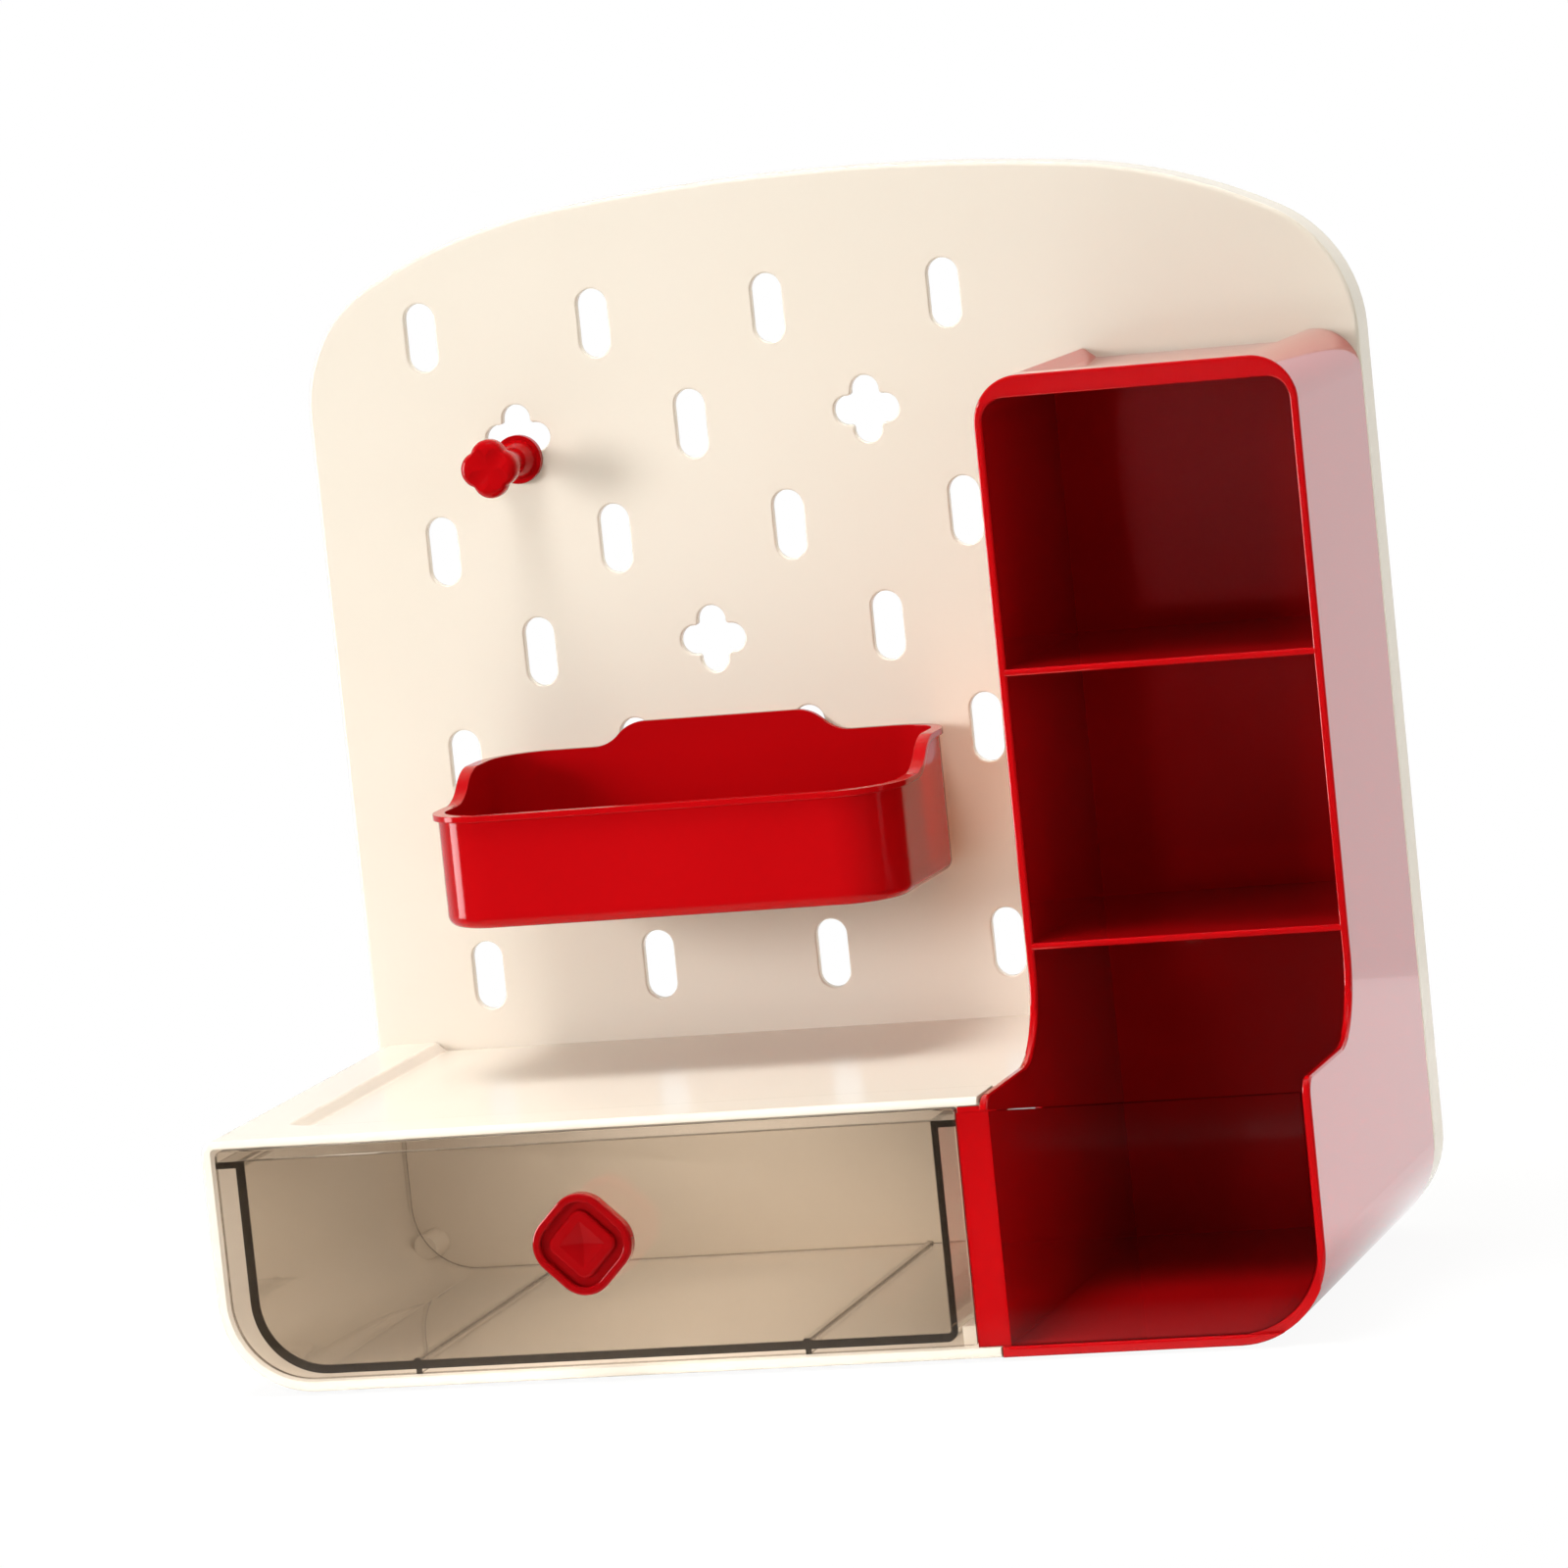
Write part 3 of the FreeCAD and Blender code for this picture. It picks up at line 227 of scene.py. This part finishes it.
def zinc_plate():
    """Zinc-plated steel, cold headed: bright grey with a fine grain."""
    material, tree = new_material("zinc_plated_steel")
    colour, normal, flow = moulded_surface(tree, ZINC, ZINC_DEEP, flow_mm=3, grain_mm=0.5,
                                           grain_depth_mm=0.01, edge_mm=0.15)
    shader = node(tree, "ShaderNodeBsdfPrincipled", {"Metallic": 1.0}, Base_Color=colour, Normal=normal,
                  Roughness=rough_range(tree, flow, 0.28, 0.42))
    node(tree, "ShaderNodeOutputMaterial", Surface=shader.outputs["BSDF"])
    return material


def pad_rubber():
    """Pale silicone rubber, die cut: soft and matt, with a fine tooth."""
    material, tree = new_material("silicone_rubber_matt")
    colour, normal, flow = moulded_surface(tree, PAD_GREY, PAD_GREY_DEEP, flow_mm=6, grain_mm=0.4,
                                           grain_depth_mm=0.02, edge_mm=0.3)
    shader = node(tree, "ShaderNodeBsdfPrincipled", {"IOR": 1.43}, Base_Color=colour, Normal=normal,
                  Roughness=rough_range(tree, flow, 0.6, 0.75))
    node(tree, "ShaderNodeOutputMaterial", Surface=shader.outputs["BSDF"])
    return material


def finish_pieces():
    """Each CAD piece gets the finish of its moulding; the tray, peg and knob get darker copies of the red,
    painted shade, with a gloss of their own.
    """
    finishes = {"cream_gloss": cream_abs(),
                "red_gloss": red_abs("red_abs_high_gloss", RED, RED_DEEP, ior=1.5, coat=0.6),
                "smoke_clear": smoky_ps(),
                "clear_shield": clear_ps(),
                "zinc_steel": zinc_plate(),
                "pad_rubber": pad_rubber()}
    # darker copies of the red for the tray, peg and knob: painted shade
    small_parts = red_abs("red_abs_polished", RED_SMALL_SHADED, RED_SMALL_SHADED_DEEP, ior=1.38, coat=0.0, mirror=0.3)
    knob = red_abs("red_abs_painted_shade_knob", RED_KNOB_SHADED, RED_KNOB_SHADED_DEEP, ior=1.4, coat=0.3)
    own_finish = {"hanging_tray": small_parts, "hook_peg": small_parts, "drawer_knob": knob}
    for part in frame["record"]["subparts"]:
        piece = frame["nodes"][part["node"]]
        piece.data.materials.clear()
        piece.data.materials.append(own_finish.get(part["node"]) or finishes[part["material_slot"]])


# ---- studio ----
def camera():
    data = bpy.data.cameras.new("camera")
    data.lens = CAMERA_LENS
    data.sensor_width = SENSOR_WIDTH
    data.clip_start = CLIP_START
    data.clip_end = CLIP_END
    made = bpy.data.objects.new("camera", data)
    made.location = CAMERA_AT
    made.rotation_euler = [math.radians(turn) for turn in CAMERA_TILT]
    bpy.context.scene.collection.objects.link(made)
    bpy.context.scene.camera = made


def softbox(name, size, at, aim, power, mirrored=False, lights_up=True, spread=180, tint="#FFFFFF"):
    """A rectangular lamp, in metres and watts, that the camera never sees; mirrored ones show in gloss."""
    data = bpy.data.lights.new(name, "AREA")
    data.shape = "RECTANGLE"
    data.size, data.size_y = size
    data.energy = power
    data.color = linear(tint)[:3]
    data.spread = math.radians(spread)
    made = bpy.data.objects.new(name, data)
    made.location = at
    made.rotation_euler = (Vector(aim) - Vector(at)).to_track_quat("-Z", "Y").to_euler()
    made.visible_glossy = mirrored
    made.visible_diffuse = lights_up
    made.visible_camera = False
    made.visible_transmission = False
    bpy.context.scene.collection.objects.link(made)


def gloss_or_clear(tree, path):
    """1 for rays that arrive by a mirror or through a clear wall."""
    return joined(tree, "ShaderNodeMath", {"operation": "MAXIMUM"}, path.outputs["Is Glossy Ray"],
                  path.outputs["Is Transmission Ray"])


def in_sight(tree, path):
    """1 for the camera's own rays and for those that come straight through clear walls."""
    straight = joined(tree, "ShaderNodeMath", {"operation": "SUBTRACT", "use_clamp": True},
                      path.outputs["Is Transmission Ray"], path.outputs["Glossy Depth"])
    return joined(tree, "ShaderNodeMath", {"operation": "MAXIMUM"}, path.outputs["Is Camera Ray"], straight)


def behind(tree, coordinate, start, end, front_level, back_level=1.0):
    """Rises from front_level to back_level as y goes from start to end: white behind, dark in front."""
    place = node(tree, "ShaderNodeTexCoord").outputs[coordinate]
    parts = node(tree, "ShaderNodeSeparateXYZ", None, Vector=place)
    levels = {"From Min": start, "From Max": end, "To Min": front_level, "To Max": back_level}
    return node(tree, "ShaderNodeMapRange", levels, Value=parts.outputs["Y"]).outputs["Result"]


def floor():
    """White paper that keeps a soft shadow near the object and runs out to plain white."""
    corners = [(-FLOOR_HALF_WIDTH, FLOOR_FRONT, 0), (FLOOR_HALF_WIDTH, FLOOR_FRONT, 0),
               (FLOOR_HALF_WIDTH, FLOOR_BACK, 0), (-FLOOR_HALF_WIDTH, FLOOR_BACK, 0)]
    mesh = bpy.data.meshes.new("floor")
    mesh.from_pydata(corners, [], [(0, 1, 2, 3)])
    made = bpy.data.objects.new("floor", mesh)
    bpy.context.scene.collection.objects.link(made)
    material, tree = new_material("backdrop_paper")
    path = node(tree, "ShaderNodeLightPath")
    paper = node(tree, "ShaderNodeBsdfDiffuse", {"Color": linear(BACKDROP)})
    white = node(tree, "ShaderNodeEmission", {"Color": (1, 1, 1, 1), "Strength": 1.0})
    mirrored = node(tree, "ShaderNodeEmission", {"Color": (1, 1, 1, 1)},
                    Strength=behind(tree, "Object", -0.15, 0.1, MIRROR_FRONT))
    away = node(tree, "ShaderNodeVectorMath", {"operation": "LENGTH"})
    tree.links.new(node(tree, "ShaderNodeTexCoord").outputs["Object"], away.inputs[0])
    fading = {"From Min": SHADOW_REACH, "From Max": 2 * SHADOW_REACH, "To Min": FLOOR_WHITE}
    plain = node(tree, "ShaderNodeMapRange", fading, Value=away.outputs["Value"])
    seen = mix(tree, plain.outputs["Result"], paper.outputs["BSDF"], white.outputs["Emission"])
    lit = mix(tree, gloss_or_clear(tree, path), paper.outputs["BSDF"], mirrored.outputs["Emission"])
    node(tree, "ShaderNodeOutputMaterial", Surface=mix(tree, in_sight(tree, path), lit, seen))
    mesh.materials.append(material)


def world():
    """White where it is seen; white behind and dark in front in mirrors; a fill from above and behind."""
    made = bpy.data.worlds.new("studio")
    made.use_nodes = True
    tree = made.node_tree
    tree.nodes.clear()
    path = node(tree, "ShaderNodeLightPath")
    heading = node(tree, "ShaderNodeSeparateXYZ", None,
                   Vector=node(tree, "ShaderNodeTexCoord").outputs["Generated"])
    rising = {"From Min": -0.2, "From Max": 0.8, "To Min": FILL_LOW, "To Max": FILL_TOP}
    upward = node(tree, "ShaderNodeMapRange", rising, Value=heading.outputs["Z"])
    total = joined(tree, "ShaderNodeMath", {"operation": "ADD"}, upward.outputs["Result"],
                   behind(tree, "Generated", 0.0, 0.5, 0.0, FILL_BEHIND))
    fill = node(tree, "ShaderNodeBackground", {"Color": linear(FILL_TINT)}, Strength=total)
    mirrored = node(tree, "ShaderNodeBackground", None,
                    Strength=behind(tree, "Generated", -0.1, 0.45, MIRROR_FRONT))
    white = node(tree, "ShaderNodeBackground", {"Color": (1, 1, 1, 1), "Strength": 1.0})
    unseen = mix(tree, gloss_or_clear(tree, path), fill.outputs["Background"], mirrored.outputs["Background"])
    node(tree, "ShaderNodeOutputWorld",
         Surface=mix(tree, in_sight(tree, path), unseen, white.outputs["Background"]))
    bpy.context.scene.world = made


def lights():
    softbox("key_left", size=(1.5, 1.1), at=(-2.7, -2.95, 0.8), aim=(0, 0.05, 0.12), power=80)
    softbox("fill_right", size=(1.0, 1.0), at=(1.6, -1.7, 0.45), aim=(0, 0.05, 0.14), power=3.5)
    softbox("low_front", size=(0.2, 0.15), at=(-0.4, -2.2, 0.05), aim=(0, 0.05, 0.2), power=3)
    softbox("shelf_snoot", size=(0.2, 0.2), at=(-0.9, -1.1, 0.35), aim=(0.02, 0.07, 0.08), power=0.016,
            spread=12)
    softbox("overhead", size=(0.5, 0.5), at=(-0.12, -0.25, 1.25), aim=(-0.02, -0.02, 0.07), power=1.0,
            spread=44)
    softbox("housing_inside", size=(0.15, 0.12), at=(-0.058, -0.01, 0.0605), aim=(-0.063, -0.01, 0.01),
            power=0.12)
    softbox("red_bounce", size=(0.02, 0.035), at=(0.041, 0.035, 0.135), aim=(0.041, 0.08, 0.135),
            power=0.004, tint=GLOW)
    softbox("tall_box_left", size=(0.35, 0.8), at=(-1.15, -0.1, 0.25), aim=(0, -0.05, 0.15), power=11,
            mirrored=True, lights_up=False)


def main():
    finish_pieces()
    camera()
    floor()
    world()
    lights()
    bpy.context.scene.view_settings.view_transform = "Standard"


main()
